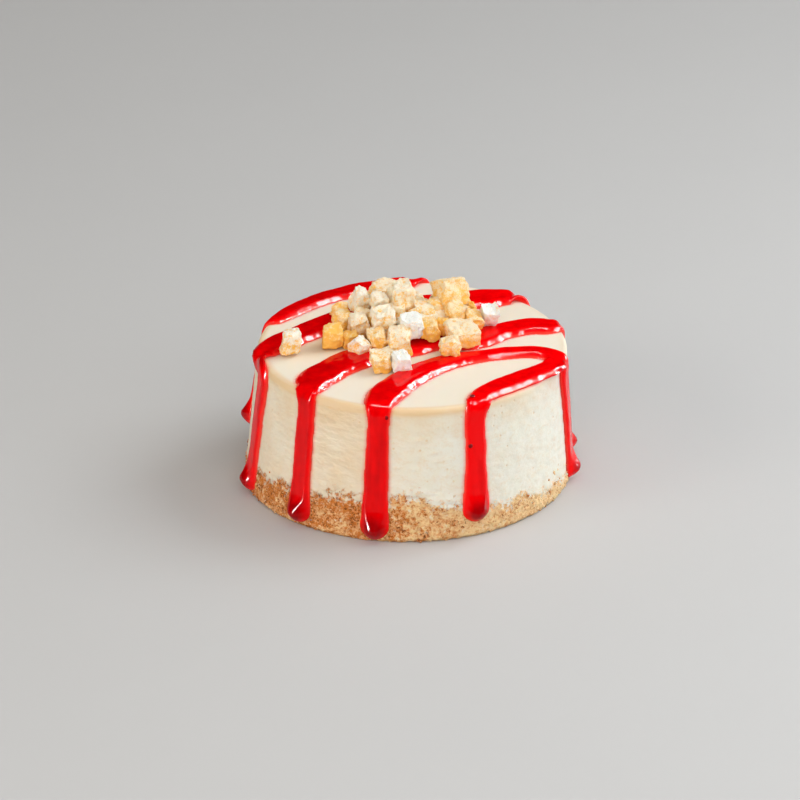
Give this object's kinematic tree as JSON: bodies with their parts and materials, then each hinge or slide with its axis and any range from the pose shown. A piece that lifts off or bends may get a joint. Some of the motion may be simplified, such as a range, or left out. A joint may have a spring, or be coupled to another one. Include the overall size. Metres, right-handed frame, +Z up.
{
  "type": "individual fruit cheesecake",
  "caption": "Small round baked cheesecake on a biscuit crumb base, drizzled with red fruit sauce and topped with a heap of dried fruit dice.",
  "frame": {"origin": "middle of the foot, at the surface the cake stands on", "axes": "+Z up, -Y towards the front that shows the runs of sauce, +X to the right as seen from the front"},
  "size_m": [0.0776, 0.0772, 0.0445],
  "materials": {
    "biscuit": "crumbly baked biscuit",
    "cheese_filling": "smooth pale baked cheese filling, with glossy red fruit sauce over it",
    "dried_fruit": "dry porous fruit",
    "fruit_sauce": "glossy red fruit sauce, fused to the filling it lies on"
  },
  "bodies": {
    "root": {"biscuit_base": "biscuit", "cheesecake": "cheese_filling", "fruit_heap": "dried_fruit", "loose_fruit_die": "dried_fruit"}
  },
  "joints": []
}
